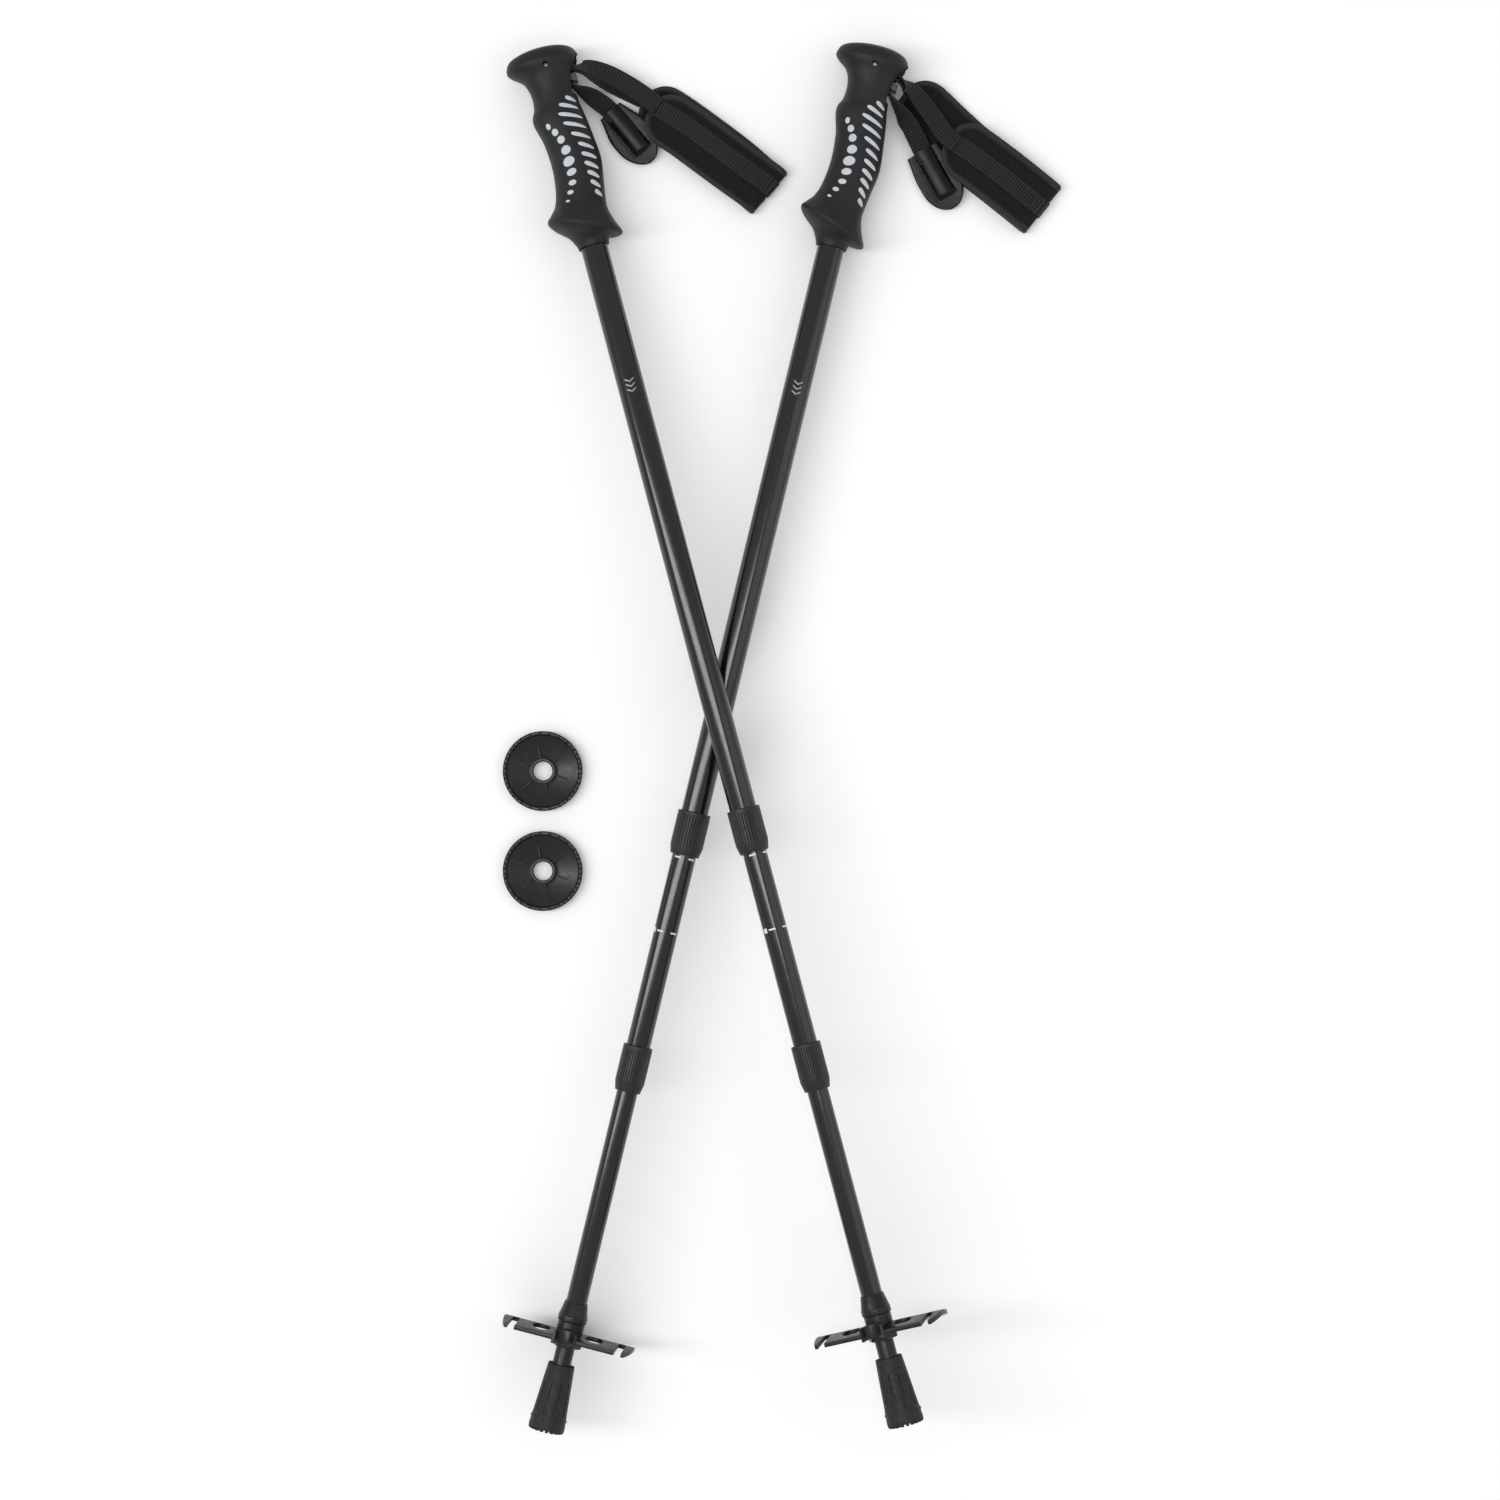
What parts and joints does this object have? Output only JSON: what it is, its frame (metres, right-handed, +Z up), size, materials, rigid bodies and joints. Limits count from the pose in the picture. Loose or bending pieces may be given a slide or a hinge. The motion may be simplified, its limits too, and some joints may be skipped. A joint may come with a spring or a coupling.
{
  "type": "trekking poles",
  "caption": "Pair of telescoping twist-lock trekking poles lying crossed, with padded wrist straps, trekking baskets, rubber tip covers and spare baskets.",
  "frame": {"origin": "on the ground, at the centre of the rectangle that the crossed pair covers", "axes": "+Y towards the grips along the length of the pair, +X to the right seen from above with the grips at the top, +Z up from the ground"},
  "size_m": [0.3764, 0.9254, 0.1112],
  "materials": {
    "grip_rubber": "satin soft-touch moulding",
    "core_plastic": "moulded",
    "pin_steel": "satin",
    "black_tube": "gloss black anodised and lacquered",
    "lock_plastic": "matte, ribbed",
    "webbing": "ribbed woven webbing",
    "pad_fabric": "padded knit with rolled rim",
    "tab_vinyl": "gloss vinyl",
    "wedge_plastic": "moulded",
    "expander_plastic": "natural nylon",
    "cone_plastic": "moulded",
    "screw_aluminium": "turned",
    "holder_plastic": "moulded",
    "carbide": "sintered",
    "basket_plastic": "moulded",
    "tip_rubber": "moulded"
  },
  "bodies": {
    "upper_a": {"grip_shell_a": "grip_rubber", "grip_core_a": "core_plastic", "strap_pin_a": "pin_steel", "upper_tube_a": "black_tube", "upper_lock_sleeve_a": "lock_plastic"},
    "strap_a": {"strap_webbing_a": "webbing", "strap_return_a": "webbing", "strap_pad_a": "pad_fabric", "strap_tab_a": "tab_vinyl"},
    "wedge_a": {"strap_wedge_a": "wedge_plastic"},
    "middle_lock_a": {"middle_expander_a": "expander_plastic"},
    "middle_nut_a": {"middle_cone_a": "cone_plastic"},
    "middle_a": {"middle_screw_a": "screw_aluminium", "middle_tube_a": "black_tube", "lower_lock_sleeve_a": "lock_plastic"},
    "lower_lock_a": {"lower_expander_a": "expander_plastic"},
    "lower_nut_a": {"lower_cone_a": "cone_plastic"},
    "lower_a": {"lower_screw_a": "screw_aluminium", "lower_tube_a": "black_tube", "tip_holder_a": "holder_plastic", "carbide_tip_a": "carbide"},
    "basket_a": {"basket_a": "basket_plastic"},
    "rubber_tip_a": {"rubber_tip_a": "tip_rubber"},
    "upper_b": {"grip_shell_b": "grip_rubber", "grip_core_b": "core_plastic", "strap_pin_b": "pin_steel", "upper_tube_b": "black_tube", "upper_lock_sleeve_b": "lock_plastic"},
    "strap_b": {"strap_webbing_b": "webbing", "strap_return_b": "webbing", "strap_pad_b": "pad_fabric", "strap_tab_b": "tab_vinyl"},
    "wedge_b": {"strap_wedge_b": "wedge_plastic"},
    "middle_lock_b": {"middle_expander_b": "expander_plastic"},
    "middle_nut_b": {"middle_cone_b": "cone_plastic"},
    "middle_b": {"middle_screw_b": "screw_aluminium", "middle_tube_b": "black_tube", "lower_lock_sleeve_b": "lock_plastic"},
    "lower_lock_b": {"lower_expander_b": "expander_plastic"},
    "lower_nut_b": {"lower_cone_b": "cone_plastic"},
    "lower_b": {"lower_screw_b": "screw_aluminium", "lower_tube_b": "black_tube", "tip_holder_b": "holder_plastic", "carbide_tip_b": "carbide"},
    "basket_b": {"basket_b": "basket_plastic"},
    "rubber_tip_b": {"rubber_tip_b": "tip_rubber"},
    "spare_1": {"spare_basket_1": "basket_plastic"},
    "spare_2": {"spare_basket_2": "basket_plastic"}
  },
  "joints": [
    {"name": "strap_swing_a", "type": "hinge", "parent": "upper_a", "child": "strap_a", "pos_m": [-0.15882, 0.445, 0.01928], "axis": [0, 0, 1], "range_deg": [-4, 14]},
    {"name": "wedge_release_a", "type": "slide", "parent": "strap_a", "child": "wedge_a", "axis": [0.9352, -0.354, 0], "range_m": [0, 0.005]},
    {"name": "middle_slide_a", "type": "slide", "parent": "upper_a", "child": "middle_lock_a", "axis": [0.256, -0.9641, 0.0705], "range_m": [-0.118, 0.212]},
    {"name": "middle_twist_a", "type": "hinge", "parent": "middle_lock_a", "child": "middle_a", "pos_m": [-0.0856, 0.16927, 0.03945], "axis": [0.256, -0.9641, 0.0705], "range_deg": [0, 540]},
    {"name": "middle_nut_travel_a", "type": "slide", "parent": "middle_lock_a", "child": "middle_nut_a", "axis": [0.256, -0.9641, 0.0705], "range_m": [0, 0.0019]},
    {"name": "lower_slide_a", "type": "slide", "parent": "middle_a", "child": "lower_lock_a", "axis": [0.256, -0.9641, 0.0705], "range_m": [-0.116, 0.204]},
    {"name": "lower_twist_a", "type": "hinge", "parent": "lower_lock_a", "child": "lower_a", "pos_m": [-0.0856, 0.16927, 0.03945], "axis": [0.256, -0.9641, 0.0705], "range_deg": [0, 540]},
    {"name": "lower_nut_travel_a", "type": "slide", "parent": "lower_lock_a", "child": "lower_nut_a", "axis": [0.256, -0.9641, 0.0705], "range_m": [0, 0.0019]},
    {"name": "basket_turn_a", "type": "hinge", "parent": "lower_a", "child": "basket_a", "pos_m": [-0.0856, 0.16927, 0.03945], "axis": [0.256, -0.9641, 0.0705], "range_deg": [0, 270]},
    {"name": "rubber_tip_pull_a", "type": "slide", "parent": "lower_a", "child": "rubber_tip_a", "axis": [0.256, -0.9641, 0.0705], "range_m": [0, 0.06]},
    {"name": "strap_swing_b", "type": "hinge", "parent": "upper_b", "child": "strap_b", "pos_m": [0.06002, 0.4462, 0.01912], "axis": [0, 0, 1], "range_deg": [-6, 12]},
    {"name": "wedge_release_b", "type": "slide", "parent": "strap_b", "child": "wedge_b", "axis": [0.6542, -0.7564, 0], "range_m": [0, 0.005]},
    {"name": "middle_slide_b", "type": "slide", "parent": "upper_b", "child": "middle_lock_b", "axis": [-0.234, -0.9718, 0.0294], "range_m": [-0.118, 0.212]},
    {"name": "middle_twist_b", "type": "hinge", "parent": "middle_lock_b", "child": "middle_b", "pos_m": [-0.00691, 0.16826, 0.02752], "axis": [-0.234, -0.9718, 0.0294], "range_deg": [0, 540]},
    {"name": "middle_nut_travel_b", "type": "slide", "parent": "middle_lock_b", "child": "middle_nut_b", "axis": [-0.234, -0.9718, 0.0294], "range_m": [0, 0.0019]},
    {"name": "lower_slide_b", "type": "slide", "parent": "middle_b", "child": "lower_lock_b", "axis": [-0.234, -0.9718, 0.0294], "range_m": [-0.122, 0.198]},
    {"name": "lower_twist_b", "type": "hinge", "parent": "lower_lock_b", "child": "lower_b", "pos_m": [-0.00691, 0.16826, 0.02752], "axis": [-0.234, -0.9718, 0.0294], "range_deg": [0, 540]},
    {"name": "lower_nut_travel_b", "type": "slide", "parent": "lower_lock_b", "child": "lower_nut_b", "axis": [-0.234, -0.9718, 0.0294], "range_m": [0, 0.0019]},
    {"name": "basket_turn_b", "type": "hinge", "parent": "lower_b", "child": "basket_b", "pos_m": [-0.00691, 0.16826, 0.02752], "axis": [-0.234, -0.9718, 0.0294], "range_deg": [0, 270]},
    {"name": "rubber_tip_pull_b", "type": "slide", "parent": "lower_b", "child": "rubber_tip_b", "axis": [-0.234, -0.9718, 0.0294], "range_m": [0, 0.06]},
    {"name": "spare_1_lift", "type": "slide", "parent": "upper_b", "child": "spare_1", "axis": [0, 0, 1], "range_m": [0, 0.2]},
    {"name": "spare_2_lift", "type": "slide", "parent": "upper_b", "child": "spare_2", "axis": [0, 0, 1], "range_m": [0, 0.2]},
    {"name": "pole_a_lift", "type": "slide", "parent": "upper_b", "child": "upper_a", "axis": [0, 0, 1], "range_m": [0, 0.3]}
  ],
  "couplings": [
    {"joint": "middle_nut_travel_a", "follows": "middle_twist_a", "m_per_rad": 0.00019894},
    {"joint": "lower_nut_travel_a", "follows": "lower_twist_a", "m_per_rad": 0.00019894},
    {"joint": "middle_nut_travel_b", "follows": "middle_twist_b", "m_per_rad": 0.00019894},
    {"joint": "lower_nut_travel_b", "follows": "lower_twist_b", "m_per_rad": 0.00019894}
  ]
}
